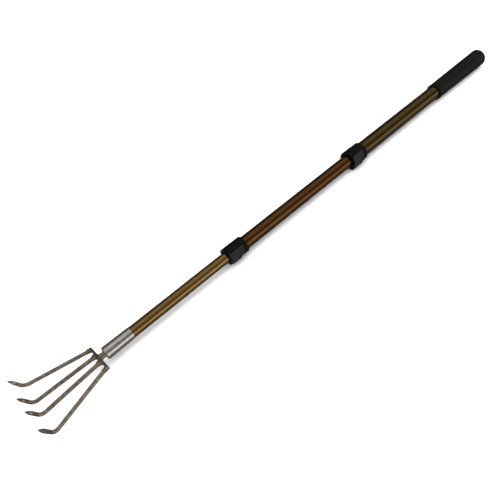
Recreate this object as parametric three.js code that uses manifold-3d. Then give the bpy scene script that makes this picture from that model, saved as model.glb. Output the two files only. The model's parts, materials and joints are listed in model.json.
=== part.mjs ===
// A telescoping hand cultivator: four forged claws on a yoke, a three-stage
// aluminium handle with two lever locks, and a rubber grip.
// Millimetres. +X runs along the handle from the head to the grip, +Z is the
// side the claws point to, and the origin is the centre of the grip's flat butt.
import * as THREE from "three";
import { mergeVertices } from "three/addons/utils/BufferGeometryUtils.js";
import Module from "manifold-3d";

const wasm = await Module();
wasm.setup();

// ---- driving dimensions -------------------------------------------------

// Handle, listed from the grip to the head.
const gripLength = 146;
const upperShown = 202;
const upperLock = {
  prefix: "upper_lock", clamp: 18, sleeve: 14.3, plate: 22.6, collarRadius: 14.9, earRise: 1.8, nose: 1.2,
};
const middleShown = 229;
const lowerLock = {
  prefix: "lower_lock", clamp: 18, sleeve: 15, plate: 25, collarRadius: 12.9, earRise: 1, nose: 5,
};
const lowerShown = 164;
const ferruleLength = 41.5;

const lowerRadius = 8;
const middleRadius = 10;
const upperRadius = 12;
const tubeWall = 1;
const insertion = 95; // how far each inner tube still reaches past its lock

// Clearances: a sliding fit, and the space left between assembled pieces.
const slip = 0.12;
const gap = 0.3;

// Tines: rods that run from a common line in the yoke and bend up into claws.
const degrees = THREE.MathUtils.degToRad;
const rodRadius = 2.55;
const outerTine = { y: 21.6, splay: degrees(17.4), roll: degrees(5), reach: 89.8 };
const innerTine = { y: 6.8, splay: degrees(3.8), roll: 0, reach: 87.6 };
const droop = degrees(1.7);
const bendAngle = degrees(67);
const bendRadius = 9;
const clawReach = 24.7;
const leafWidth = 1.35; // widest part of the claw, as a multiple of the rod
const leafThickness = 1.1; // thickest part, in the same way
const leafShoulder = 0.42; // where along the claw both are reached
const tipHalfSize = 0.15;
const tenonRadius = 1.5;
const tenonLength = 4;

// Yoke and neck.
const yokeThickness = 5.3;
const yokeEnd = 24.4; // half the length of the straight back edge
const outerBar = 3.2; // left behind the arch between an outer and an inner tine
const middleBar = 4.5; // left behind the arch between the inner tines
const bossReach = 6; // how far the yoke follows each tine, from the root line
const bossHalfWidth = 2.7;
const tineLine = 2.7; // the tines' root line, from the back edge
const neckLength = 6.2;
const neckRadius = 4;
const neckSeat = 1.2; // a round seat for the neck, raised on the back edge
const neckSeatRadius = 4.8;
const spigotRadius = 2.2;
const spigotLength = 3.4;

// Ferrule, and the plug that ties the tang to the lower tube.
const ferruleHeadRadius = 8.95;
const ferruleTailRadius = 8.5;
const ferruleBore = lowerRadius + 0.15;
const domeLength = 2.2;
const plugShoulderAt = 12; // from the ferrule's front
const plugEndAt = 32;
const tangRadius = 3.4;
const tangEndAt = 28;

// Guide bushes.
const bushLength = 18;
const bushLip = 1.5;

// Locks. "across" is the direction the clamp closes in, "out" is radial there.
const lockRoll = degrees(138.7);
const lockSlit = 1.2;
const earAcross = 3.4;
const earBack = { across: -4.6, foot: -8.2, inset: 0.6, bed: -3 };
const noseSlope = 0.55;
const camRadius = 2.7;
const pinRadius = 1.2;
const eyeRadius = 2.45;
const eyeWidth = 4;
const nutRadius = 2.1;
const nutLength = 2.6;
const nutSeat = 1; // from the ear's middle face to the nut
const boltTail = 0.4;
const leverLean = degrees(60);
const leverThickness = 2.1;
const tipLift = { under: 2, edge: 0.6, face: 0.7, top: 0.9 }; // the thumb edge's corners
const linerWall = 0.9;
const linerFit = 0.13;
const sleeveStep = 0.3;
const seam = 0.1; // overlap where two solids of one piece join
const clear = 30; // well past any piece, for the cutting shapes

// Grip.
const gripFrontRadius = 14;
const gripBackRadius = 15.2;
const gripEndRound = 7;
const gripEndWall = 9;
const rimLength = 3;
const rimRise = 0.3;
const rimEase = 0.5;
const plugLength = 24;

const round = 48; // sides of the large turned pieces
const small = 16; // sides of the pins and screws

// ---- positions along the handle -----------------------------------------

const gripFront = -gripLength;
upperLock.back = gripFront - upperShown;
upperLock.front = upperLock.back - upperLock.sleeve - upperLock.clamp;
lowerLock.back = upperLock.front - middleShown;
lowerLock.front = lowerLock.back - lowerLock.sleeve - lowerLock.clamp;
const ferruleBack = lowerLock.front - lowerShown;
const ferruleFront = ferruleBack - ferruleLength;
const yokeBack = ferruleFront - neckLength;
const plugShoulder = ferruleFront + plugShoulderAt;
const plugEnd = ferruleFront + plugEndAt;
const tangEnd = ferruleFront + tangEndAt;

// ---- materials -----------------------------------------------------------

function finish(color, roughness, metalness) {
  return new THREE.MeshStandardMaterial({ color, roughness, metalness });
}

const anodised = finish(0x6b5236, 0.38, 0.9);
const stainless = finish(0xb9b5ab, 0.32, 1);
const forged = finish(0x6e655c, 0.42, 0.9);
const blackPlastic = finish(0x17181a, 0.5, 0);
const nylon = finish(0x8c8a84, 0.55, 0);
const zincSteel = finish(0x9b9ea1, 0.35, 1);
const rubber = finish(0x1b1b1a, 0.8, 0);

// ---- geometry helpers ----------------------------------------------------

// A closed mesh as a solid that can be joined and cut.
function solid(geometry) {
  const bare = geometry.clone();
  bare.deleteAttribute("normal");
  bare.deleteAttribute("uv");
  const merged = mergeVertices(bare, 1e-4);
  return new wasm.Manifold(
    new wasm.Mesh({
      numProp: 3,
      vertProperties: merged.attributes.position.array,
      triVerts: new Uint32Array(merged.index.array),
    }),
  );
}

function geometryOf(manifold) {
  const mesh = manifold.getMesh();
  const geometry = new THREE.BufferGeometry();
  geometry.setAttribute("position", new THREE.BufferAttribute(mesh.vertProperties, 3));
  geometry.setIndex(new THREE.BufferAttribute(mesh.triVerts, 1));
  geometry.computeVertexNormals();
  return geometry;
}

// Turned about the X axis from a closed outline of [x, radius] corners, which
// runs towards the grip along the outside and back along the inside.
function turned(outline, sides = round) {
  const profile = [...outline, outline[0]].map(([x, r]) => new THREE.Vector2(r, x));
  return new THREE.LatheGeometry(profile, sides).rotateZ(-Math.PI / 2);
}

function tube(from, to, bore, radius, sides = round) {
  return turned([[from, radius], [to, radius], [to, bore], [from, bore]], sides);
}

// A solid bar along X.
function bar(from, to, radius, sides = round) {
  const length = to - from;
  return new THREE.CylinderGeometry(radius, radius, length, sides)
    .rotateZ(-Math.PI / 2)
    .translate((from + to) / 2, 0, 0);
}

// An outline in the Y-Z plane, carried along X.
function slab(shape, from, to, curveSegments = 12) {
  const toYZ = new THREE.Matrix4().makeBasis(
    new THREE.Vector3(0, 1, 0),
    new THREE.Vector3(0, 0, 1),
    new THREE.Vector3(1, 0, 0),
  );
  return new THREE.ExtrudeGeometry(shape, { depth: to - from, bevelEnabled: false, curveSegments })
    .applyMatrix4(toYZ)
    .translate(from, 0, 0);
}

function outlineOf(points) {
  return new THREE.Shape(points.map(([x, y]) => new THREE.Vector2(x, y)));
}

function put(parent, name, geometry, material) {
  const mesh = new THREE.Mesh(geometry, material);
  mesh.name = name;
  parent.add(mesh);
  return mesh;
}

// ---- head ----------------------------------------------------------------

// Half width and half thickness of a tine's section along its claw, where
// share runs from 0 at the bend to 1 at the tip.
function clawSection(share) {
  const rise = THREE.MathUtils.smoothstep(share, 0, leafShoulder);
  const taper = 1 - Math.max(0, (share - leafShoulder) / (1 - leafShoulder)) ** 2;
  const grown = (most) => Math.max(rodRadius * (1 + (most - 1) * rise) * taper, tipHalfSize);
  return [grown(leafWidth), grown(leafThickness)];
}

// A tine along -X from its root line: a tenon that sits in the yoke, a straight
// rod, and a claw forged out of the rod and bent up. The rings of the blank sit
// closer together where it changes shape.
function tineGeometry(reach) {
  const tangent = bendRadius * Math.tan(bendAngle / 2);
  const straight = reach - tangent;
  const arc = bendRadius * bendAngle;
  const claw = clawReach - tangent;
  const shoulder = bossReach + gap;
  const bendSteps = 6;
  const clawSteps = 9;
  const stations = [shoulder - tenonLength, shoulder, shoulder, straight / 2];
  for (let i = 0; i <= bendSteps; i++) stations.push(straight + (arc * i) / bendSteps);
  for (let i = 1; i <= clawSteps; i++) stations.push(straight + arc + (claw * i) / clawSteps);

  const rings = stations.length - 1;
  const blank = new THREE.CylinderGeometry(1, 1, rings, 12, rings);
  const position = blank.attributes.position;
  for (let i = 0; i < position.count; i++) {
    const ring = Math.round(rings / 2 - position.getY(i));
    const along = stations[ring];
    const [halfWidth, halfThickness] =
      ring < 2 ? [tenonRadius, tenonRadius] : clawSection((along - straight - arc) / claw);
    const turn = THREE.MathUtils.clamp((along - straight) / bendRadius, 0, bendAngle);
    const beyond = Math.max(0, along - straight - arc);
    const forward = Math.min(along, straight) + bendRadius * Math.sin(turn) + beyond * Math.cos(turn);
    const up = bendRadius * (1 - Math.cos(turn)) + beyond * Math.sin(turn);
    const side = -position.getX(i) * halfWidth;
    const lift = position.getZ(i) * halfThickness;
    position.setXYZ(i, -(forward - lift * Math.sin(turn)), side, up + lift * Math.cos(turn));
  }
  return blank;
}

const tinePlaces = [
  { ...outerTine, side: 1 },
  { ...innerTine, side: 1 },
  { ...innerTine, side: -1 },
  { ...outerTine, side: -1 },
];

// Puts a piece made along -X onto a tine's own line.
function onTineLine(object, { y, splay, roll, side }) {
  object.rotation.set(side * roll, -droop, -side * splay, "ZYX");
  object.position.set(yokeBack - tineLine, side * y, 0);
  object.updateMatrix();
  return object;
}

// The two front corners of the boss that follows a tine, in plan: x is across
// the yoke and y is forward from its back edge. The outer corner comes first.
function bossCorners({ y, splay }) {
  const along = new THREE.Vector2(Math.sin(splay), Math.cos(splay));
  const outwards = new THREE.Vector2(Math.cos(splay), -Math.sin(splay));
  const front = new THREE.Vector2(y, tineLine).addScaledVector(along, bossReach);
  return [bossHalfWidth, -bossHalfWidth].map((offset) => front.clone().addScaledVector(outwards, offset));
}

// The yoke's outline in plan: a straight back edge, four bosses that follow
// the tines, and an arch between each pair of tines.
function yokeOutline() {
  const [outerFar, outerNear] = bossCorners(outerTine);
  const [innerFar, innerNear] = bossCorners(innerTine);
  const mirrored = ({ x, y }) => new THREE.Vector2(-x, y);
  const shape = new THREE.Shape();
  // A cubic arch reaches three quarters of the way to its handles.
  const arch = (from, to, bar) => {
    const fromDepth = from.y - (from.y - bar) / 0.75;
    const toDepth = to.y - (to.y - bar) / 0.75;
    shape.lineTo(from.x, from.y);
    shape.bezierCurveTo(from.x, fromDepth, to.x, toDepth, to.x, to.y);
  };
  shape.moveTo(-yokeEnd, 0);
  shape.lineTo(yokeEnd, 0);
  shape.lineTo(outerFar.x, outerFar.y);
  arch(outerNear, innerFar, outerBar);
  arch(innerNear, mirrored(innerNear), middleBar);
  arch(mirrored(innerFar), mirrored(outerNear), outerBar);
  shape.lineTo(-outerFar.x, outerFar.y);
  shape.closePath();
  return shape;
}

function yokeGeometry() {
  const plan = new THREE.Matrix4().makeBasis(
    new THREE.Vector3(0, 1, 0),
    new THREE.Vector3(-1, 0, 0),
    new THREE.Vector3(0, 0, 1),
  );
  const blank = new THREE.ExtrudeGeometry(yokeOutline(), {
    depth: yokeThickness,
    bevelEnabled: false,
    curveSegments: 14,
  })
    .translate(0, 0, -yokeThickness / 2)
    .applyMatrix4(plan)
    .translate(yokeBack, 0, 0);
  const seat = bar(yokeBack - 1, yokeBack + neckSeat, neckSeatRadius, 24);
  let yoke = solid(blank).add(solid(seat));
  for (const place of tinePlaces) {
    const socketEnd = tenonLength - bossReach;
    const socket = onTineLine(new THREE.Mesh(bar(-clear, socketEnd, tenonRadius + gap / 2, 12)), place);
    yoke = yoke.subtract(solid(socket.geometry.applyMatrix4(socket.matrix)));
  }
  const hole = bar(yokeBack - spigotLength - gap, yokeBack + neckSeat + 1, spigotRadius + gap / 2, small);
  return geometryOf(yoke.subtract(solid(hole)));
}

function ferruleGeometry() {
  const dome = [];
  const domeSteps = 5;
  for (let i = 0; i <= domeSteps; i++) {
    const t = (Math.PI / 2) * (i / domeSteps);
    const rise = ferruleHeadRadius - neckRadius - gap;
    dome.push([ferruleFront + domeLength * (1 - Math.cos(t)), neckRadius + gap + rise * Math.sin(t)]);
  }
  return turned([
    ...dome,
    [ferruleBack, ferruleTailRadius],
    [ferruleBack, ferruleBore],
    [ferruleFront + domeLength, ferruleBore],
    [ferruleFront + domeLength, neckRadius + gap],
  ]);
}

const head = new THREE.Group();
tinePlaces.forEach((place, i) => {
  onTineLine(put(head, "tine_" + (i + 1), tineGeometry(place.reach), forged), place);
});
put(head, "tine_yoke", yokeGeometry(), forged);
put(
  head,
  "head_tang",
  turned(
    [
      [yokeBack - spigotLength, 0],
      [yokeBack - spigotLength, spigotRadius],
      [yokeBack + neckSeat + gap, spigotRadius],
      [yokeBack + neckSeat + gap, neckRadius],
      [ferruleFront + domeLength, neckRadius],
      [ferruleFront + domeLength, tangRadius],
      [tangEnd, tangRadius],
      [tangEnd, 0],
    ],
    24,
  ),
  forged,
);
put(head, "ferrule", ferruleGeometry(), stainless);
put(
  head,
  "ferrule_plug",
  turned([
    [ferruleFront + domeLength + gap, ferruleBore - gap / 2],
    [plugShoulder, ferruleBore - gap / 2],
    [plugShoulder, lowerRadius - tubeWall - slip],
    [plugEnd, lowerRadius - tubeWall - slip],
    [plugEnd, tangRadius + gap / 2],
    [ferruleFront + domeLength + gap, tangRadius + gap / 2],
  ]),
  nylon,
);

// ---- tubes and guide bushes ----------------------------------------------


// The bush on an inner tube's end: it runs in the next tube and its lip
// covers the end of its own.
function bushGeometry(end, radius) {
  const skin = radius + tubeWall - slip;
  const seat = radius + slip;
  return turned([
    [end - bushLength, skin],
    [end + gap + bushLip, skin],
    [end + gap + bushLip, radius - tubeWall],
    [end + gap, radius - tubeWall],
    [end + gap, seat],
    [end - bushLength, seat],
  ]);
}

const lowerEnd = lowerLock.front + insertion;
const middleEnd = upperLock.front + insertion + upperLock.clamp;
const upperEnd = -gripEndWall;
const lowerStart = plugShoulder + gap;
const middleStart = lowerLock.front + lowerLock.clamp + gap;
const upperStart = upperLock.front + upperLock.clamp + gap;

put(head, "lower_tube", tube(lowerStart, lowerEnd, lowerRadius - tubeWall, lowerRadius), anodised);

const lowerGuide = new THREE.Group();
put(lowerGuide, "lower_guide_bush", bushGeometry(lowerEnd, lowerRadius), nylon);

const middle = new THREE.Group();
put(middle, "middle_tube", tube(middleStart, middleEnd, middleRadius - tubeWall, middleRadius), anodised);

const middleGuide = new THREE.Group();
put(middleGuide, "middle_guide_bush", bushGeometry(middleEnd, middleRadius), nylon);

const handle = new THREE.Group();
put(handle, "upper_tube", tube(upperStart, upperEnd, upperRadius - tubeWall, upperRadius), anodised);

// ---- lever locks ---------------------------------------------------------

// One lock in its own frame: X from its head end, Y across the slit towards
// the lever, Z out through the slit. It is fixed on the outer tube's end and
// grips the inner one.
function lockPieces(lock, innerRadius) {
  const { clamp, sleeve, plate, collarRadius, earRise, nose } = lock;
  const outerRadius = innerRadius + 2 * tubeWall;
  const bore = innerRadius + slip + linerWall + linerFit;
  const jaw = clamp - lockSlit;
  const top = collarRadius + earRise;
  const pivot = { y: earAcross + gap + camRadius, z: top - camRadius - seam };
  const middleX = jaw / 2;
  const pinStart = Math.max(gap, nose - (top - pivot.z - pinRadius) / noseSlope);

  // A point given by its distance out from the lever's plane and along it.
  const normal = [Math.sin(leverLean), Math.cos(leverLean)];
  const faceAt = (out, along) => [
    out * normal[0] + along * normal[1],
    out * normal[1] - along * normal[0],
  ];
  const face = pivot.y * normal[0] + pivot.z * normal[1] + camRadius;
  const under = face - leverThickness;
  const tip = face * Math.tan(Math.PI / 2 - leverLean);
  const root = pivot.y * normal[1] - pivot.z * normal[0];
  const acrossX = (radius, from, to) => bar(from, to, radius, small).translate(0, pivot.y, pivot.z);
  const alongY = (radius, from, to, sides = small) =>
    new THREE.CylinderGeometry(radius, radius, to - from, sides)
      .translate(middleX, (from + to) / 2, pivot.z);
  const box = ([x0, y0, z0], [x1, y1, z1]) =>
    new THREE.BoxGeometry(x1 - x0, y1 - y0, z1 - z0)
      .translate((x0 + x1) / 2, (y0 + y1) / 2, (z0 + z1) / 2);

  // The slope that takes the head-side corner off the ears and the lever.
  const noseFoot = top - noseSlope * nose;
  const noseOutline = outlineOf([
    [-clear, noseFoot],
    [0, noseFoot],
    [nose, top],
    [nose, clear],
    [-clear, clear],
  ]);
  const noseCut = solid(
    new THREE.ExtrudeGeometry(noseOutline, { depth: 2 * clear, bevelEnabled: false })
      .rotateX(Math.PI / 2)
      .translate(0, clear, 0),
  );

  // Collar: a split clamp ring with two ears, and a plain sleeve.
  const { across, foot, inset, bed } = earBack;
  const earOutline = outlineOf([
    [foot, Math.sqrt(collarRadius ** 2 - foot ** 2) - inset],
    [bed, bore],
    [earAcross, bore],
    [earAcross, top],
    [across, top],
  ]);
  const seatOutline = outlineOf([
    faceAt(under - gap, root),
    faceAt(under - gap, clear),
    faceAt(under + clear, clear),
    faceAt(under + clear, root),
  ]);
  const ears = solid(slab(earOutline, 0, jaw)).subtract(noseCut);
  const collar = solid(bar(0, clamp, collarRadius))
    .add(solid(bar(clamp - seam, clamp + sleeve, collarRadius - sleeveStep)))
    .add(ears)
    .subtract(solid(bar(-1, clamp, bore)))
    .subtract(solid(bar(clamp - seam, clamp + sleeve + 1, outerRadius + slip)))
    .subtract(solid(box([-1, -lockSlit / 2, bore / 2], [jaw, lockSlit / 2, clear])))
    .subtract(solid(box([jaw, -clear, -pinRadius], [clamp, clear, clear])))
    .subtract(solid(slab(seatOutline, -1, plate + gap)))
    .subtract(solid(acrossX(camRadius + gap, -1, jaw)))
    .subtract(solid(alongY(pinRadius + gap, -clear, clear)))
    .subtract(solid(alongY(nutRadius + gap, -clear, -earAcross - nutSeat + gap)));

  // Lever: a cam round the pin, and a flat plate that lies on the collar and
  // reaches past the jaws over the sleeve.
  const plateOutline = outlineOf([
    faceAt(under, root + tipLift.under),
    faceAt(under, tip - tipLift.under),
    faceAt(under + tipLift.edge, tip),
    faceAt(face - tipLift.face, tip),
    faceAt(face, tip - tipLift.top),
    faceAt(face, root),
  ]);
  const eyeFrom = middleX - eyeWidth / 2;
  const eyeTo = middleX + eyeWidth / 2;
  const lever = solid(acrossX(camRadius, gap, jaw - gap))
    .add(solid(slab(plateOutline, gap, plate)))
    .subtract(solid(acrossX(pinRadius + slip, -1, jaw + 1)))
    .subtract(solid(acrossX(camRadius + gap, eyeFrom - gap, eyeTo + gap)))
    .subtract(noseCut);

  // Eye bolt: its eye turns on the lever's pin, its shank draws the ears together.
  const nutFace = -earAcross - nutSeat;
  const eyeBolt = solid(acrossX(eyeRadius, eyeFrom, eyeTo))
    .add(solid(alongY(pinRadius, nutFace - nutLength - boltTail, pivot.y - pinRadius)))
    .subtract(solid(acrossX(pinRadius + slip, -1, jaw + 1)));
  const nut = solid(alongY(nutRadius, nutFace - nutLength, nutFace, 6))
    .subtract(solid(alongY(pinRadius + slip, -clear, 0)));

  const liner = solid(tube(gap, jaw - gap, innerRadius + slip, innerRadius + slip + linerWall))
    .subtract(solid(box([-1, -lockSlit / 2, 0], [clamp, lockSlit / 2, clear])));

  return [
    ["collar", geometryOf(collar), blackPlastic],
    ["liner", geometryOf(liner), nylon],
    ["lever", geometryOf(lever), blackPlastic],
    ["pin", acrossX(pinRadius, pinStart, jaw - gap), zincSteel],
    ["eye_bolt", geometryOf(eyeBolt), zincSteel],
    ["nut", geometryOf(nut), zincSteel],
  ];
}

function addLock(parent, lock, innerRadius) {
  const frame = new THREE.Group();
  frame.position.x = lock.front;
  frame.rotation.x = lockRoll;
  for (const [piece, geometry, material] of lockPieces(lock, innerRadius)) {
    put(frame, lock.prefix + "_" + piece, geometry, material);
  }
  parent.add(frame);
}

addLock(middle, lowerLock, lowerRadius);
addLock(handle, upperLock, middleRadius);

// ---- grip ----------------------------------------------------------------

function gripGeometry() {
  const bore = upperRadius + slip;
  const end = [];
  const endSteps = 6;
  for (let i = 0; i <= endSteps; i++) {
    const t = (Math.PI / 2) * (i / endSteps);
    end.push([
      gripEndRound * (Math.sin(t) - 1),
      gripBackRadius - gripEndRound * (1 - Math.cos(t)),
    ]);
  }
  return turned([
    [gripFront, gripFrontRadius - rimEase],
    [gripFront + rimEase, gripFrontRadius + rimRise],
    [gripFront + rimLength, gripFrontRadius + rimRise],
    [gripFront + rimLength + rimEase, gripFrontRadius],
    ...end,
    [0, 0],
    [-gripEndWall + gap, 0],
    [-gripEndWall + gap, bore],
    [gripFront, bore],
  ]);
}

put(handle, "grip", gripGeometry(), rubber);
put(
  handle,
  "upper_tube_plug",
  bar(upperEnd - plugLength, upperEnd, upperRadius - tubeWall - slip),
  nylon,
);

// ---- assembly ------------------------------------------------------------

const group = new THREE.Group();
group.add(head, lowerGuide, middle, middleGuide, handle);

export default group;
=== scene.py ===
# A telescoping hand cultivator lying on its back, claws up: forged head,
# bronze anodised handle in three stages, two lever locks and a rubber grip.
# Metres. +X runs along the handle from the head to the grip, +Z is up.
import json
from math import cos, pi, radians, sin, sqrt, tan

import bmesh
import bpy
from mathutils import Matrix, Vector


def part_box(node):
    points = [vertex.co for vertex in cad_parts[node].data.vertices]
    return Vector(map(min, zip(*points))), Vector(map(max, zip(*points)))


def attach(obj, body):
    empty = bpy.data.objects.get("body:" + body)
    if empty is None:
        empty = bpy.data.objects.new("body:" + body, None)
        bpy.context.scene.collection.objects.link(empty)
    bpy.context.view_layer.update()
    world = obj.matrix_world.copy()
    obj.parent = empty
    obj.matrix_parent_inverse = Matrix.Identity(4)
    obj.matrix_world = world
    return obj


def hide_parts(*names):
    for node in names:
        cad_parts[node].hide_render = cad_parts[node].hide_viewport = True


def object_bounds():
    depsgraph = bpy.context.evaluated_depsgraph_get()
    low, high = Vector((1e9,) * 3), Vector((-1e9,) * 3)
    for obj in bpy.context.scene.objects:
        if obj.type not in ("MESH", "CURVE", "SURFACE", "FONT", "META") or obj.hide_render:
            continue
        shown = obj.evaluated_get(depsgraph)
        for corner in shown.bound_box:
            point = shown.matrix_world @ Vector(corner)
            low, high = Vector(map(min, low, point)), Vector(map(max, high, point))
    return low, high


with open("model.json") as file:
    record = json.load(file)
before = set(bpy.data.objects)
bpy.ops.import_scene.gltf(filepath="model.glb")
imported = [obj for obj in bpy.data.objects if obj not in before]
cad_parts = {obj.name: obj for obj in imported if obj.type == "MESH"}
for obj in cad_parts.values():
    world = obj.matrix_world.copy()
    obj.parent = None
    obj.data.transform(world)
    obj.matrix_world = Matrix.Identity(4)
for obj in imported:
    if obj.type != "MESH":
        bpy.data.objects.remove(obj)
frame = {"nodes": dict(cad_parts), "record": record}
CAD_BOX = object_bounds()

MM = 0.001  # pieces are modelled in millimetres and brought to metres when they are done
FINE = 96  # sides of the tubes and other turned pieces
FINEST = 128  # sides of the grip, the ferrule and the collars
ROUND = 64  # sides of the neck, its seat and the cams
BORE_SIDES = 48  # sides of what runs along a lever's pin
PIN_SIDES = 32
HEX = 6
SHARP = radians(35)  # edges keener than this are shaded sharp
SOFTEN_ANGLE = radians(38)  # edges keener than this are rounded
MERGE = 1e-4  # corners nearer than this are one
FAR = 30  # well outside a lock

# ---- sizes of the real pieces, in millimetres -------------------------------

TUBE_WALL = 1
TUBE_EDGE = 0.25

ROD_RADIUS = 2.55
OUTER_TINE = {"root": 21.6, "splay": radians(17.4), "roll": radians(5), "reach": 89.8}
INNER_TINE = {"root": 6.8, "splay": radians(3.8), "roll": 0, "reach": 87.6}
DROOP = radians(1.7)
BEND_ANGLE = radians(67)
BEND_RADIUS = 9
CLAW_REACH = 24.7
LEAF_WIDTH = 1.35
LEAF_THICKNESS = 1.1
LEAF_SHOULDER = 0.42
TIP_HALF_SIZE = 0.15
RIDGE = 0.7  # how far a claw goes from a round section (0) to a diamond with a ridge (1)
TINE_SUNK = 1  # how far inside its boss a tine starts
TINE_SIDES = 32
ROD_STEPS, BEND_STEPS, CLAW_STEPS = 8, 16, 32

YOKE_THICKNESS = 5.3
YOKE_ROUNDING = 1.7
YOKE_ROUNDING_STEPS = 6
YOKE_END = 24.4
OUTER_BAR = 3.2
MIDDLE_BAR = 4.5
BOSS_REACH = 6
BOSS_HALF_WIDTH = 2.7
TINE_LINE = 2.7
ARCH_SQUARENESS = 2.3
NECK_SEAT = 1.2
NECK_SEAT_RADIUS = 4.8
NECK_SEAT_EASE = 0.6
NECK_SEAT_SUNK = 1  # how far inside the yoke the seat starts
NECK_RADIUS = 4
NECK_FLARE = 0.8
SPIGOT_RADIUS = 2.2
TANG_RADIUS = 3.4

FERRULE_HEAD_RADIUS = 8.95
FERRULE_TAIL_RADIUS = 8.5
FERRULE_DOME = 2.2
FERRULE_WALL = 0.35
FERRULE_LIP = 0.12

LOCK_ROLL = radians(138.7)
UPPER_LOCK = {
    "clamp": 18, "sleeve": 14.3, "plate": 22.6, "collar": 14.9, "rise": 1.8, "nose": 1.2,
    "inner": 10,
}
LOWER_LOCK = {
    "clamp": 18, "sleeve": 15, "plate": 25, "collar": 12.9, "rise": 1, "nose": 5, "inner": 8,
}
SLIT = 1.2
EAR_ACROSS = 3.4
EAR_BACK = {"across": 4.6, "foot": 8.2, "inset": 0.6, "bed": 3}  # behind the slit
NOSE_SLOPE = 0.55
CAM_RADIUS = 2.7
PIN_RADIUS = 1.2
EYE_RADIUS = 2.45
EYE_WIDTH = 4
NUT_RADIUS = 2.1
NUT_LENGTH = 2.6
NUT_SEAT = 1
BOLT_TAIL = 0.4
LEVER_LEAN = radians(60)
LEVER_THICKNESS = 2.1
LEVER_HEEL = 2  # where the lever's underside starts, from its root
LEVER_TIP = {"under": 2, "edge": 0.6, "face": 0.7, "top": 0.9}  # the thumb edge's corners
PIN_EASE = 0.2
EYE_EASE = 0.3
NUT_EASE = 0.15
LINER_EASE = 0.15
LINER_WALL = 0.9
LINER_FIT = 0.13
SLEEVE_STEP = 0.3
SLIP = 0.12
GAP = 0.3
SEAM = 0.1
RIM_EASE = 0.5

GRIP_FRONT_RADIUS = 14
GRIP_BACK_RADIUS = 15.2
GRIP_END_ROUND = 5.6
RIM_LENGTH = 3
RIM_RISE = 0.3
RIM_GROOVE = 0.5
RIM_ROUND = 0.8


# ---- materials -------------------------------------------------------------

def material(name, color, roughness, metallic=0.0, **sockets):
    """A Principled material; sockets are further inputs by their own names."""
    mat = bpy.data.materials.new(name)
    mat.use_nodes = True
    shader = mat.node_tree.nodes["Principled BSDF"]
    shader.inputs["Base Color"].default_value = (*color, 1)
    shader.inputs["Roughness"].default_value = roughness
    shader.inputs["Metallic"].default_value = metallic
    for socket, value in sockets.items():
        shader.inputs[socket.replace("_", " ")].default_value = value
    return mat, mat.node_tree, shader


def object_space(tree, scale, location=(0, 0, 0), rotation=(0, 0, 0)):
    """Object coordinates through a Mapping node."""
    coords = tree.nodes.new("ShaderNodeTexCoord")
    mapping = tree.nodes.new("ShaderNodeMapping")
    mapping.inputs["Scale"].default_value = scale
    mapping.inputs["Location"].default_value = location
    mapping.inputs["Rotation"].default_value = rotation
    tree.links.new(coords.outputs["Object"], mapping.inputs["Vector"])
    return mapping.outputs["Vector"]


def noise(tree, vector, scale=1.0, detail=2.0, roughness=0.5):
    node = tree.nodes.new("ShaderNodeTexNoise")
    node.inputs["Scale"].default_value = scale
    node.inputs["Detail"].default_value = detail
    node.inputs["Roughness"].default_value = roughness
    tree.links.new(vector, node.inputs["Vector"])
    return node.outputs["Fac"]


def ramp(tree, factor, *stops):
    """A colour ramp; each stop is (position, colour)."""
    node = tree.nodes.new("ShaderNodeValToRGB")
    elements = node.color_ramp.elements
    while len(elements) < len(stops):
        elements.new(0.5)
    for element, (position, color) in zip(elements, stops):
        element.position = position
        element.color = (*color, 1)
    tree.links.new(factor, node.inputs["Fac"])
    return node.outputs["Color"]


def grey(value):
    return (value, value, value)


def blend(tree, first, second, share):
    """Two factors mixed; share is how much of the second."""
    node = tree.nodes.new("ShaderNodeMix")
    node.data_type = "FLOAT"
    node.inputs["Factor"].default_value = share
    tree.links.new(first, node.inputs["A"])
    tree.links.new(second, node.inputs["B"])
    return node.outputs["Result"]


def spread(tree, factor, low, high):
    """A factor of 0 to 1, stretched to low to high."""
    node = tree.nodes.new("ShaderNodeMapRange")
    node.inputs["To Min"].default_value = low
    node.inputs["To Max"].default_value = high
    tree.links.new(factor, node.inputs["Value"])
    return node.outputs["Result"]


def bump(tree, shader, *layers):
    """Bump from (height, distance in metres, strength) layers, one on another."""
    normal = None
    for height, distance, strength in layers:
        node = tree.nodes.new("ShaderNodeBump")
        node.inputs["Distance"].default_value = distance
        node.inputs["Strength"].default_value = strength
        tree.links.new(height, node.inputs["Height"])
        if normal is not None:
            tree.links.new(normal, node.inputs["Normal"])
        normal = node.outputs["Normal"]
    tree.links.new(normal, shader.inputs["Normal"])


def anodised(name, dark, light):
    """Drawn aluminium tube: fine rings round it, faint streaks along it."""
    mat, tree, shader = material(name, light, 0.3, 1.0)
    rings = noise(tree, object_space(tree, (5200, 90, 90)), 1, 2)
    bands = noise(tree, object_space(tree, (420, 20, 20)), 1, 3)
    streaks = noise(tree, object_space(tree, (9, 800, 800)), 1, 3)
    color = ramp(tree, blend(tree, bands, streaks, 0.5), (0.32, dark), (0.68, light))
    tree.links.new(color, shader.inputs["Base Color"])
    tree.links.new(spread(tree, rings, 0.14, 0.3), shader.inputs["Roughness"])
    bump(tree, shader, (rings, 0.02 * MM, 0.5), (bands, 0.05 * MM, 0.35))
    return mat


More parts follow.
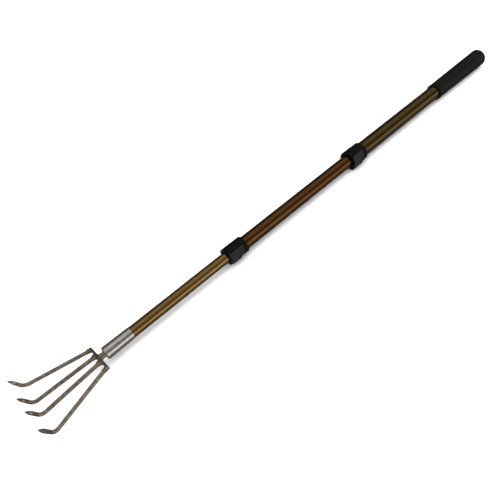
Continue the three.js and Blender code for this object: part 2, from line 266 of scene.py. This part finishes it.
def turned_steel(name):
    """Satin stainless sheet with fine turned lines round it."""
    mat, tree, shader = material(name, (0.7, 0.68, 0.64), 0.3, 1.0)
    lines = noise(tree, object_space(tree, (1500, 40, 40)), 1, 3)
    cloud = noise(tree, object_space(tree, (60, 60, 60)), 1, 3)
    color = ramp(
        tree, blend(tree, lines, cloud, 0.4),
        (0.34, (0.50, 0.46, 0.40)), (0.62, (0.80, 0.77, 0.71)),
    )
    tree.links.new(color, shader.inputs["Base Color"])
    tree.links.new(spread(tree, lines, 0.14, 0.32), shader.inputs["Roughness"])
    bump(tree, shader, (lines, 0.06 * MM, 0.5))
    return mat


def forged_steel(name):
    """Brownish grey forging with mottled scale."""
    mat, tree, shader = material(name, (0.36, 0.31, 0.27), 0.36, 0.95)
    mottle = noise(tree, object_space(tree, (240, 240, 240)), 1, 4, 0.6)
    grain = noise(tree, object_space(tree, (2600, 2600, 2600)), 1, 2)
    color = ramp(
        tree, mottle,
        (0.25, (0.16, 0.115, 0.08)), (0.5, (0.33, 0.255, 0.19)), (0.75, (0.52, 0.45, 0.38)),
    )
    tree.links.new(color, shader.inputs["Base Color"])
    tree.links.new(spread(tree, mottle, 0.1, 0.22), shader.inputs["Roughness"])
    bump(tree, shader, (mottle, 0.04 * MM, 0.3), (grain, 0.005 * MM, 0.3))
    return mat


def moulded_plastic(name, color, roughness, gloss=0.3):
    """Moulded nylon with a fine spark-eroded grain."""
    mat, tree, shader = material(name, color, roughness, Specular_IOR_Level=gloss)
    grain = noise(tree, object_space(tree, (2400, 2400, 2400)), 1, 3, 0.6)
    cloud = noise(tree, object_space(tree, (90, 90, 90)), 1, 2)
    lift = [min(1.0, c * 1.6 + 0.001) for c in color]
    tree.links.new(ramp(tree, cloud, (0.3, color), (0.75, lift)), shader.inputs["Base Color"])
    sheen = spread(tree, grain, roughness - 0.08, roughness + 0.1)
    tree.links.new(sheen, shader.inputs["Roughness"])
    bump(tree, shader, (grain, 0.05 * MM, 0.45))
    return mat


def blackened_steel(name):
    """Dark oxide on small fasteners."""
    mat, tree, shader = material(name, (0.08, 0.08, 0.085), 0.35, 1.0)
    grain = noise(tree, object_space(tree, (900, 900, 900)), 1, 3)
    tree.links.new(spread(tree, grain, 0.22, 0.4), shader.inputs["Roughness"])
    color = ramp(tree, grain, (0.3, (0.055, 0.055, 0.058)), (0.7, (0.10, 0.10, 0.105)))
    tree.links.new(color, shader.inputs["Base Color"])
    bump(tree, shader, (grain, 0.03 * MM, 0.4))
    return mat


def grip_rubber(name):
    """Black rubber, a little dusty, with a fine stipple."""
    mat, tree, shader = material(name, grey(0.004), 0.5, Specular_IOR_Level=0.16)
    stipple = noise(tree, object_space(tree, (1500, 1500, 1500)), 1, 3, 0.55)
    dust = noise(tree, object_space(tree, (70, 120, 120)), 1, 4, 0.6)
    color = ramp(tree, dust, (0.35, (0.0012, 0.0012, 0.0009)), (0.8, (0.004, 0.004, 0.0034)))
    tree.links.new(color, shader.inputs["Base Color"])
    tree.links.new(spread(tree, stipple, 0.42, 0.62), shader.inputs["Roughness"])
    bump(tree, shader, (stipple, 0.12 * MM, 0.5))
    return mat


BRONZE_LOWER = anodised("bronze_lower", (0.24, 0.13, 0.028), (0.40, 0.255, 0.10))
BRONZE_MIDDLE = anodised("bronze_middle", (0.125, 0.047, 0.011), (0.20, 0.098, 0.036))
BRONZE_UPPER = anodised("bronze_upper", (0.09, 0.058, 0.014), (0.155, 0.105, 0.036))
STAINLESS = turned_steel("satin_stainless")
FORGED = forged_steel("forged_brown_steel")
BLACK_NYLON = moulded_plastic("black_nylon", grey(0.0012), 0.42, 0.08)
LEVER_NYLON = moulded_plastic("lever_nylon", (0.0025, 0.0022, 0.0023), 0.34, 0.3)
GREY_NYLON = moulded_plastic("grey_nylon", (0.22, 0.215, 0.20), 0.5)
BLACKENED = blackened_steel("blackened_steel")
RUBBER = grip_rubber("grip_rubber")


# ---- shaping helpers -------------------------------------------------------

def body_of_node(node):
    bodies = frame["record"]["behaviour"]["bodies"]
    return next(body for body, members in bodies.items() if node in members)


def span(node):
    """A node's lowest and highest corners, in millimetres."""
    return [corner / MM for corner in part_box(node)]


def mesh_object(name, bm):
    """A scene object from a bmesh, its faces turned outwards."""
    bmesh.ops.remove_doubles(bm, verts=bm.verts, dist=MERGE)
    bmesh.ops.recalc_face_normals(bm, faces=bm.faces)
    mesh = bpy.data.meshes.new(name)
    bm.to_mesh(mesh)
    bm.free()
    piece = bpy.data.objects.new(name, mesh)
    bpy.context.scene.collection.objects.link(piece)
    return piece


def settle(piece, mat, *nodes):
    """Gives a piece its finish and its body, and lets it stand for CAD nodes."""
    piece.data.transform(Matrix.Scale(MM, 4))
    piece.data.materials.clear()
    piece.data.materials.append(mat)
    piece.data.shade_smooth()
    piece.data.set_sharp_from_angle(angle=SHARP)
    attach(piece, body_of_node(nodes[0]))
    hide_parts(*nodes)
    return piece


def turned(outline, steps=FINE):
    """A closed outline of (x, radius) corners, spun about the X axis."""
    bm = bmesh.new()
    verts = [bm.verts.new((x, 0, r)) for x, r in outline]
    edges = [bm.edges.new((a, b)) for a, b in zip(verts, verts[1:] + verts[:1])]
    bmesh.ops.spin(
        bm, geom=verts + edges, cent=(0, 0, 0), axis=(1, 0, 0),
        angle=2 * pi, steps=steps, use_merge=True,
    )
    bmesh.ops.remove_doubles(bm, verts=bm.verts, dist=MERGE)
    on_axis = [e for e in bm.edges if not e.link_faces]
    bmesh.ops.delete(bm, geom=on_axis, context="EDGES")
    return bm


def arc(center, radius, start, end, steps):
    """Points along an arc, as (x, y) pairs."""
    turn = (end - start) / steps
    return [
        (center[0] + radius * cos(start + i * turn), center[1] + radius * sin(start + i * turn))
        for i in range(steps + 1)
    ]


def bar(start, end, radius, steps=FINE):
    """A solid round bar along X."""
    return turned([(start, 0), (start, radius), (end, radius), (end, 0)], steps)


def prism(outline, start, end):
    """An outline of (y, z) corners, carried along X."""
    bm = bmesh.new()
    face = bm.faces.new([bm.verts.new((start, y, z)) for y, z in outline])
    made = bmesh.ops.extrude_face_region(bm, geom=[face])["geom"]
    moved = [v for v in made if isinstance(v, bmesh.types.BMVert)]
    for vert in moved:
        vert.co.x = end
    return bm


def finished(piece):
    """The piece's mesh with its modifiers worked in."""
    bpy.context.view_layer.update()
    shaped = piece.evaluated_get(bpy.context.evaluated_depsgraph_get())
    mesh = bpy.data.meshes.new_from_object(shaped)
    piece.modifiers.clear()
    old = piece.data
    piece.data = mesh
    bpy.data.meshes.remove(old)
    return piece


def combine(piece, operation, *tools):
    """Joins or cuts a piece with other solids, which are used up."""
    for bm in tools:
        tool = mesh_object("tool", bm)
        step = piece.modifiers.new("combine", "BOOLEAN")
        step.operation = operation
        step.solver = "MANIFOLD"
        step.object = tool
        finished(piece)
        bpy.data.objects.remove(tool)
    return piece


def used_up(piece):
    """A piece's mesh as a bmesh, with the piece itself removed."""
    bm = bmesh.new()
    bm.from_mesh(piece.data)
    bpy.data.objects.remove(piece)
    return bm


def soften(piece, width, segments=3):
    """Rounds a piece's hard edges."""
    step = piece.modifiers.new("soften", "BEVEL")
    step.width = width
    step.segments = segments
    step.limit_method = "ANGLE"
    step.angle_limit = SOFTEN_ANGLE
    step.profile = 0.5
    step.use_clamp_overlap = True
    return finished(piece)


# ---- tubes, grip and ferrule -----------------------------------------------

def tube_outline(start, end, bore, radius, edge):
    """A tube's wall with its four corners eased."""
    return [
        (start + edge, radius), (end - edge, radius), (end, radius - edge), (end, bore + edge),
        (end - edge, bore), (start + edge, bore), (start, bore + edge), (start, radius - edge),
    ]


def make_tube(node, mat):
    low, high = span(node)
    bm = turned(tube_outline(low.x, high.x, high.z - TUBE_WALL, high.z, TUBE_EDGE))
    return settle(mesh_object(node + "_drawn", bm), mat, node)


def make_grip():
    low, high = span("grip")
    tube_radius, tube_end = span("upper_tube")[1].z, span("upper_tube")[1].x
    bore = tube_radius + SLIP
    rim_radius = GRIP_FRONT_RADIUS + RIM_RISE
    rim_end = low.x + RIM_LENGTH
    outline = arc((low.x + RIM_ROUND, rim_radius - RIM_ROUND), RIM_ROUND, pi, pi / 2, 6)
    rim_corner = (rim_end - RIM_ROUND, rim_radius - RIM_ROUND)
    outline += arc(rim_corner, RIM_ROUND, pi / 2, 0.25 * pi, 3)
    outline += arc((rim_end + RIM_GROOVE, GRIP_FRONT_RADIUS), RIM_GROOVE, pi, 2 * pi, 8)
    end_center = (high.x - GRIP_END_ROUND, GRIP_BACK_RADIUS - GRIP_END_ROUND)
    outline += arc(end_center, GRIP_END_ROUND, pi / 2, 0, 14)
    outline += [(high.x, 0), (tube_end + GAP, 0), (tube_end + GAP, bore), (low.x, bore)]
    return settle(mesh_object("grip_moulding", turned(outline, FINEST)), RUBBER, "grip")


def make_ferrule():
    low, high = span("ferrule")
    mouth = NECK_RADIUS + GAP
    rise = FERRULE_HEAD_RADIUS - mouth
    steps = 14
    turns = [pi / 2 * i / steps for i in range(steps + 1)]
    dome = [(low.x + FERRULE_DOME * (1 - cos(t)), mouth + rise * sin(t)) for t in turns]
    bore = FERRULE_TAIL_RADIUS - FERRULE_WALL
    outline = dome + [
        (high.x - FERRULE_LIP, FERRULE_TAIL_RADIUS), (high.x, FERRULE_TAIL_RADIUS - FERRULE_LIP),
        (high.x, bore), (low.x + FERRULE_DOME, bore), (low.x + FERRULE_DOME, mouth),
    ]
    return settle(mesh_object("ferrule_sheet", turned(outline, FINEST)), STAINLESS, "ferrule")


# ---- head --------------------------------------------------------------------

def smooth_step(value):
    value = max(0.0, min(1.0, value))
    return value * value * (3 - 2 * value)


def claw_section(share):
    """Half width, half thickness and ridge of a tine, share 0 at the bend to 1 at the tip."""
    rise = smooth_step(share / LEAF_SHOULDER)
    taper = 1 - max(0.0, (share - LEAF_SHOULDER) / (1 - LEAF_SHOULDER)) ** 2
    width = ROD_RADIUS * (1 + (LEAF_WIDTH - 1) * rise) * taper
    thickness = ROD_RADIUS * (1 + (LEAF_THICKNESS - 1) * rise) * taper
    return max(width, TIP_HALF_SIZE), max(thickness, TIP_HALF_SIZE), RIDGE * rise


def tine_ring(along, straight, claw):
    """One ring of a tine that runs along -X and bends up, as points."""
    bend_length = BEND_RADIUS * BEND_ANGLE
    share = (along - straight - bend_length) / claw
    half_width, half_thickness, ridge = claw_section(share)
    turn = max(0.0, min(BEND_ANGLE, (along - straight) / BEND_RADIUS))
    beyond = max(0.0, along - straight - bend_length)
    forward = min(along, straight) + BEND_RADIUS * sin(turn) + beyond * cos(turn)
    up = BEND_RADIUS * (1 - cos(turn)) + beyond * sin(turn)
    points = []
    for i in range(TINE_SIDES):
        angle = 2 * pi * i / TINE_SIDES
        # A point of the round section, moved towards the diamond inside it.
        x, y = cos(angle), sin(angle)
        flat = 1 / (abs(x) + abs(y))
        size = 1 + ridge * (flat - 1)
        lift = half_thickness * y * size
        side = half_width * x * size
        points.append(Vector((-(forward - lift * sin(turn)), side, up + lift * cos(turn))))
    return points


def make_tine(node, side, root, splay, roll, reach):
    """A rod drawn ring by ring from its boss round the bend to the point."""
    tangent = BEND_RADIUS * tan(BEND_ANGLE / 2)
    straight = reach - tangent
    claw = CLAW_REACH - tangent
    bend_length = BEND_RADIUS * BEND_ANGLE
    start = BOSS_REACH - TINE_SUNK
    stations = [start + (straight - start) * i / ROD_STEPS for i in range(ROD_STEPS)]
    stations += [straight + bend_length * i / BEND_STEPS for i in range(BEND_STEPS + 1)]
    stations += [
        straight + bend_length + claw * i / CLAW_STEPS for i in range(1, CLAW_STEPS + 1)
    ]
    bm = bmesh.new()
    ring = bmesh.ops.create_circle(
        bm, cap_ends=True, radius=ROD_RADIUS, segments=TINE_SIDES,
    )["verts"]
    for vert, point in zip(ring, tine_ring(stations[0], straight, claw)):
        vert.co = point
    edges = bm.edges[:]
    for along in stations[1:]:
        grown = bmesh.ops.extrude_edge_only(bm, edges=edges)["geom"]
        edges = [e for e in grown if isinstance(e, bmesh.types.BMEdge)]
        new_verts = {v for v in grown if isinstance(v, bmesh.types.BMVert)}
        ring = [
            next(e.other_vert(v) for e in v.link_edges if e.other_vert(v) in new_verts)
            for v in ring
        ]
        for vert, point in zip(ring, tine_ring(along, straight, claw)):
            vert.co = point
    bm.faces.new(ring)
    place = Matrix.Translation((yoke_back() - TINE_LINE, side * root, 0))
    place @= Matrix.Rotation(-side * splay, 4, "Z")
    place @= Matrix.Rotation(-DROOP, 4, "Y") @ Matrix.Rotation(side * roll, 4, "X")
    bmesh.ops.transform(bm, matrix=place, verts=bm.verts)
    return settle(mesh_object(node + "_forging", bm), FORGED, node)


def yoke_back():
    return span("tine_yoke")[1].x - NECK_SEAT


def boss_corners(root, splay):
    """The two front corners of a tine's boss in plan, (across, forward), outer one first."""
    front = Vector((root, TINE_LINE)) + BOSS_REACH * Vector((sin(splay), cos(splay)))
    outwards = BOSS_HALF_WIDTH * Vector((cos(splay), -sin(splay)))
    return front + outwards, front - outwards


def arch(start, end, left):
    """A round-cornered arch between two bosses; left is the depth of bar behind it."""
    points = []
    steps = 24
    for i in range(steps + 1):
        swing = (1 - cos(pi * i / steps)) / 2
        line = start.y + (end.y - start.y) * swing
        fullness = (1 - abs(2 * swing - 1) ** ARCH_SQUARENESS) ** (1 / ARCH_SQUARENESS)
        points.append((start.x + (end.x - start.x) * swing, line - (line - left) * fullness))
    return points


def yoke_outline():
    """The yoke in plan, (across, forward) corners."""
    outer_far, outer_near = boss_corners(OUTER_TINE["root"], OUTER_TINE["splay"])
    inner_far, inner_near = boss_corners(INNER_TINE["root"], INNER_TINE["splay"])
    side = arch(outer_near, inner_far, OUTER_BAR)
    middle = arch(inner_near, Vector((-inner_near.x, inner_near.y)), MIDDLE_BAR)
    other_side = [(-across, forward) for across, forward in reversed(side)]
    return [
        (-YOKE_END, 0), (YOKE_END, 0), outer_far[:], *side, *middle, *other_side,
        (-outer_far.x, outer_far.y),
    ]


def make_yoke():
    back = yoke_back()
    half = YOKE_THICKNESS / 2
    bm = bmesh.new()
    corners = [(back - forward, across, -half) for across, forward in yoke_outline()]
    face = bm.faces.new([bm.verts.new(corner) for corner in corners])
    made = bmesh.ops.extrude_face_region(bm, geom=[face])["geom"]
    moved = [v for v in made if isinstance(v, bmesh.types.BMVert)]
    bmesh.ops.translate(bm, vec=(0, 0, YOKE_THICKNESS), verts=moved)
    rims = [e for e in bm.edges if abs(e.verts[0].co.z - e.verts[1].co.z) < MERGE]
    bmesh.ops.bevel(
        bm, geom=rims, affect="EDGES", offset=YOKE_ROUNDING, offset_type="OFFSET",
        segments=YOKE_ROUNDING_STEPS, profile=0.5, material=-1, clamp_overlap=False,
    )
    yoke = mesh_object("yoke_forging", bm)
    rim = (back + NECK_SEAT - NECK_SEAT_EASE, NECK_SEAT_RADIUS - NECK_SEAT_EASE)
    seat = [(back - NECK_SEAT_SUNK, 0), (back - NECK_SEAT_SUNK, NECK_SEAT_RADIUS)]
    seat += arc(rim, NECK_SEAT_EASE, pi / 2, 0, 6)
    seat += [(back + NECK_SEAT, 0)]
    combine(yoke, "UNION", turned(seat, ROUND))
    return settle(yoke, FORGED, "tine_yoke")


def make_tang():
    low, high = span("head_tang")
    seat = span("tine_yoke")[1].x + GAP
    front = span("ferrule")[0].x + FERRULE_DOME
    flare = arc((seat + NECK_FLARE, NECK_RADIUS + NECK_FLARE), NECK_FLARE, pi, 1.5 * pi, 6)
    outline = [
        (low.x, 0), (low.x, SPIGOT_RADIUS), (seat, SPIGOT_RADIUS), *flare,
        (front, NECK_RADIUS), (front, TANG_RADIUS), (high.x, TANG_RADIUS), (high.x, 0),
    ]
    return settle(mesh_object("neck_forging", turned(outline, ROUND)), FORGED, "head_tang")


# ---- lever locks -------------------------------------------------------------

def make_lock(prefix, clamp, sleeve, plate, collar, rise, nose, inner):
    """One lock in its own frame: X from its head end, Y across the slit
    towards the lever, Z out through the slit."""
    outer = inner + 2 * TUBE_WALL
    bore = inner + SLIP + LINER_WALL + LINER_FIT
    jaw = clamp - SLIT
    top = collar + rise
    pivot_y = EAR_ACROSS + GAP + CAM_RADIUS
    pivot_z = top - CAM_RADIUS - SEAM
    middle = jaw / 2
    pin_start = max(GAP, nose - (top - pivot_z - PIN_RADIUS) / NOSE_SLOPE)
    lean = (sin(LEVER_LEAN), cos(LEVER_LEAN))
    face = pivot_y * lean[0] + pivot_z * lean[1] + CAM_RADIUS
    under = face - LEVER_THICKNESS
    tip = face * tan(pi / 2 - LEVER_LEAN)
    root = pivot_y * lean[1] - pivot_z * lean[0]

    def on_face(out, along):
        return (out * lean[0] + along * lean[1], out * lean[1] - along * lean[0])

    def across_x(radius, start, end, steps=BORE_SIDES):
        bm = bar(start, end, radius, steps)
        bmesh.ops.translate(bm, vec=(0, pivot_y, pivot_z), verts=bm.verts)
        return bm

    def along_y(radius, start, end, steps=PIN_SIDES):
        bm = bar(start, end, radius, steps)
        bmesh.ops.rotate(bm, cent=(0, 0, 0), matrix=Matrix.Rotation(pi / 2, 3, "Z"), verts=bm.verts)
        bmesh.ops.translate(bm, vec=(middle, 0, pivot_z), verts=bm.verts)
        return bm

    def block(low, high):
        (x, y, z), (x_end, y_end, z_end) = low, high
        return prism([(y, z), (y_end, z), (y_end, z_end), (y, z_end)], x, x_end)

    def nose_cut():
        """Everything above the slope on the head-side corner of the ears and the lever."""
        bm = prism([
            (FAR, top - NOSE_SLOPE * (nose + FAR)), (-FAR, top + NOSE_SLOPE * (FAR - nose)),
            (-FAR, 2 * FAR), (FAR, 2 * FAR),
        ], -FAR, FAR)
        bmesh.ops.rotate(bm, cent=(0, 0, 0), matrix=Matrix.Rotation(pi / 2, 3, "Z"), verts=bm.verts)
        return bm

    def placed(piece, mat, *nodes):
        place = Matrix.Translation((span(prefix + "_collar")[0].x, 0, 0))
        piece.data.transform(place @ Matrix.Rotation(LOCK_ROLL, 4, "X"))
        return settle(piece, mat, *nodes)

    foot = EAR_BACK["foot"]
    ear = [
        (-foot, sqrt(collar ** 2 - foot ** 2) - EAR_BACK["inset"]), (-EAR_BACK["bed"], bore),
        (EAR_ACROSS, bore), (EAR_ACROSS, top), (-EAR_BACK["across"], top),
    ]
    seat = [
        on_face(under - GAP, root), on_face(under - GAP, FAR),
        on_face(under + FAR, FAR), on_face(under + FAR, root),
    ]
    ears = soften(mesh_object("ears", prism(ear, 0, jaw)), RIM_EASE)
    combine(ears, "DIFFERENCE", nose_cut())
    sleeve_bore = outer + SLIP
    end, sleeve_radius = clamp + sleeve, collar - SLEEVE_STEP
    body = mesh_object(prefix + "_clamp_collar", turned([
        (0, bore), *arc((RIM_EASE, collar - RIM_EASE), RIM_EASE, pi, pi / 2, 4),
        (clamp, collar), (clamp, sleeve_radius),
        *arc((end - RIM_EASE, sleeve_radius - RIM_EASE), RIM_EASE, pi / 2, 0, 4),
        (end, sleeve_bore), (clamp - SEAM, sleeve_bore), (clamp - SEAM, bore),
    ], FINEST))
    combine(body, "UNION", used_up(ears))
    combine(
        body, "DIFFERENCE",
        block((-2, -SLIT / 2, bore / 2), (jaw, SLIT / 2, FAR)),
        block((jaw, -FAR, -PIN_RADIUS), (clamp, FAR, FAR)),
        prism(seat, -1, plate + GAP),
        across_x(CAM_RADIUS + GAP, -1, jaw),
        along_y(PIN_RADIUS + GAP, -FAR, FAR),
        along_y(NUT_RADIUS + GAP, -FAR, GAP - EAR_ACROSS - NUT_SEAT),
    )
    placed(body, BLACK_NYLON, prefix + "_collar")

    plate_outline = [
        on_face(under, root + LEVER_HEEL), on_face(under, tip - LEVER_TIP["under"]),
        on_face(under + LEVER_TIP["edge"], tip), on_face(face - LEVER_TIP["face"], tip),
        on_face(face, tip - LEVER_TIP["top"]), on_face(face, root),
    ]
    eye = (middle - EYE_WIDTH / 2, middle + EYE_WIDTH / 2)
    lever = mesh_object(prefix + "_flip_lever", prism(plate_outline, GAP, plate))
    soften(lever, RIM_EASE)
    combine(lever, "UNION", across_x(CAM_RADIUS, GAP, jaw - GAP, ROUND))
    combine(
        lever, "DIFFERENCE",
        across_x(PIN_RADIUS + SLIP, -1, jaw + 1),
        across_x(CAM_RADIUS + GAP, eye[0] - GAP, eye[1] + GAP),
        nose_cut(),
    )
    placed(lever, LEVER_NYLON, prefix + "_lever")

    pin_bar = across_x(PIN_RADIUS, pin_start, jaw - GAP, PIN_SIDES)
    pin = soften(mesh_object(prefix + "_hinge_pin", pin_bar), PIN_EASE, 2)
    placed(pin, BLACKENED, prefix + "_pin")

    nut_face = -EAR_ACROSS - NUT_SEAT
    bolt_end = nut_face - NUT_LENGTH - BOLT_TAIL
    bolt = soften(mesh_object(prefix + "_draw_bolt", across_x(EYE_RADIUS, *eye)), EYE_EASE)
    combine(bolt, "UNION", along_y(PIN_RADIUS, bolt_end, pivot_y - PIN_RADIUS))
    combine(bolt, "DIFFERENCE", across_x(PIN_RADIUS + SLIP, -1, jaw + 1))
    placed(bolt, BLACKENED, prefix + "_eye_bolt")

    nut_bar = along_y(NUT_RADIUS, nut_face - NUT_LENGTH, nut_face, HEX)
    nut = soften(mesh_object(prefix + "_hex_nut", nut_bar), NUT_EASE, 2)
    combine(nut, "DIFFERENCE", along_y(PIN_RADIUS + SLIP, -FAR, 0))
    placed(nut, BLACKENED, prefix + "_nut")

    liner = mesh_object(prefix + "_split_liner", turned(
        tube_outline(GAP, jaw - GAP, inner + SLIP, inner + SLIP + LINER_WALL, LINER_EASE)))
    combine(liner, "DIFFERENCE", block((-1, -SLIT / 2, 0), (clamp, SLIT / 2, FAR)))
    placed(liner, BLACK_NYLON, prefix + "_liner")


# ---- the object ----------------------------------------------------------------

make_tube("lower_tube", BRONZE_LOWER)
make_tube("middle_tube", BRONZE_MIDDLE)
make_tube("upper_tube", BRONZE_UPPER)
make_grip()
make_ferrule()
make_tine("tine_1", 1, **OUTER_TINE)
make_tine("tine_2", 1, **INNER_TINE)
make_tine("tine_3", -1, **INNER_TINE)
make_tine("tine_4", -1, **OUTER_TINE)
make_yoke()
make_tang()
make_lock("upper_lock", **UPPER_LOCK)
make_lock("lower_lock", **LOWER_LOCK)

for node in ("ferrule_plug", "lower_guide_bush", "middle_guide_bush", "upper_tube_plug"):
    hidden_piece = frame["nodes"][node]
    hidden_piece.data.materials.clear()
    hidden_piece.data.materials.append(GREY_NYLON)


# ---- studio --------------------------------------------------------------------

FLOOR_HALF_SIZE = 12
CEILING_TOWARDS = (-0.1, -0.7, 1)
CEILING_STRENGTH = 5.4
CEILING_SOFTNESS = radians(130)
LIGHT_PANELS = (
    (-180, 0.3), (-172, 0.7), (-145, 0.6), (-135, 0.12), (-75, 0.16), (-36, 0.14), (-24, 0.95),
    (3, 1.15), (14, 0.2), (46, 0.16), (64, 0.5), (98, 0.64), (112, 0.28), (136, 0.14),
    (150, 0.02), (172, 0.02), (180, 0.3),
)


def studio_floor(height):
    bm = bmesh.new()
    bmesh.ops.create_grid(bm, x_segments=1, y_segments=1, size=FLOOR_HALF_SIZE)
    bmesh.ops.translate(bm, vec=(0, 0, height), verts=bm.verts)
    mesh = bpy.data.meshes.new("studio_floor")
    bm.to_mesh(mesh)
    bm.free()
    floor = bpy.data.objects.new("studio_floor", mesh)
    bpy.context.scene.collection.objects.link(floor)
    paper, _, _ = material("pale_paper", grey(0.9), 0.9, Specular_IOR_Level=0)
    mesh.materials.append(paper)
    floor.visible_glossy = False


def sunlight(name, towards, strength, softness):
    """A large soft lamp that lights but doesn't show as a patch of glare."""
    light = bpy.data.lights.new(name, "SUN")
    light.energy = strength
    light.angle = softness
    lamp = bpy.data.objects.new(name, light)
    lamp.rotation_euler = Vector(towards).to_track_quat("Z", "Y").to_euler()
    lamp.visible_glossy = False
    bpy.context.scene.collection.objects.link(lamp)


def studio_world(panels):
    """A dim room with long light panels beside the handle. Each panel edge is
    (degrees up from the front round the handle, brightness)."""
    world = bpy.data.worlds.new("studio")
    bpy.context.scene.world = world
    world.use_nodes = True
    tree = world.node_tree
    coords = tree.nodes.new("ShaderNodeTexCoord")
    parts = tree.nodes.new("ShaderNodeSeparateXYZ")
    tree.links.new(coords.outputs["Generated"], parts.inputs["Vector"])
    front = tree.nodes.new("ShaderNodeMath")
    front.operation = "MULTIPLY"
    front.inputs[1].default_value = -1
    tree.links.new(parts.outputs["Y"], front.inputs[0])
    angle = tree.nodes.new("ShaderNodeMath")
    angle.operation = "ARCTAN2"
    tree.links.new(parts.outputs["Z"], angle.inputs[0])
    tree.links.new(front.outputs["Value"], angle.inputs[1])
    turn = tree.nodes.new("ShaderNodeMapRange")
    turn.inputs["From Min"].default_value = -pi
    turn.inputs["From Max"].default_value = pi
    tree.links.new(angle.outputs["Value"], turn.inputs["Value"])
    stops = [((degrees + 180) / 360, grey(brightness)) for degrees, brightness in panels]
    color = ramp(tree, turn.outputs["Result"], *stops)
    # The camera sees a plain pale wall; only the gloss sees the panels.
    path = tree.nodes.new("ShaderNodeLightPath")
    wall = tree.nodes.new("ShaderNodeMix")
    wall.data_type = "RGBA"
    wall.inputs["B"].default_value = (1, 1, 1, 1)
    tree.links.new(path.outputs["Is Camera Ray"], wall.inputs["Factor"])
    tree.links.new(color, wall.inputs["A"])
    tree.links.new(wall.outputs["Result"], tree.nodes["Background"].inputs["Color"])


CAMERA_TARGET = Vector((-0.60722, -0.00877, -0.00945))
CAMERA_AZIMUTH = radians(29.63)  # from +Y towards +X
CAMERA_ELEVATION = radians(39.2)
CAMERA_ROLL = radians(-19.13)
CAMERA_DISTANCE = 0.7336
CAMERA_LENS = 37.12


def add_camera():
    level = cos(CAMERA_ELEVATION)
    forward = Vector((
        sin(CAMERA_AZIMUTH) * level, cos(CAMERA_AZIMUTH) * level, -sin(CAMERA_ELEVATION),
    ))
    flat_right = forward.cross(Vector((0, 0, 1))).normalized()
    right = flat_right * cos(CAMERA_ROLL) + flat_right.cross(forward) * sin(CAMERA_ROLL)
    up = right.cross(forward)
    data = bpy.data.cameras.new("studio_camera")
    data.sensor_width = 36
    data.lens = CAMERA_LENS
    data.clip_start = 0.01
    camera = bpy.data.objects.new("studio_camera", data)
    turn = Matrix((right, up, -forward)).transposed().to_4x4()
    camera.matrix_world = Matrix.Translation(CAMERA_TARGET - forward * CAMERA_DISTANCE) @ turn
    bpy.context.scene.collection.objects.link(camera)
    bpy.context.scene.camera = camera


add_camera()
studio_floor(CAD_BOX[0][2])
studio_world(LIGHT_PANELS)
sunlight("ceiling", CEILING_TOWARDS, CEILING_STRENGTH, CEILING_SOFTNESS)
bpy.context.scene.view_settings.view_transform = "Standard"
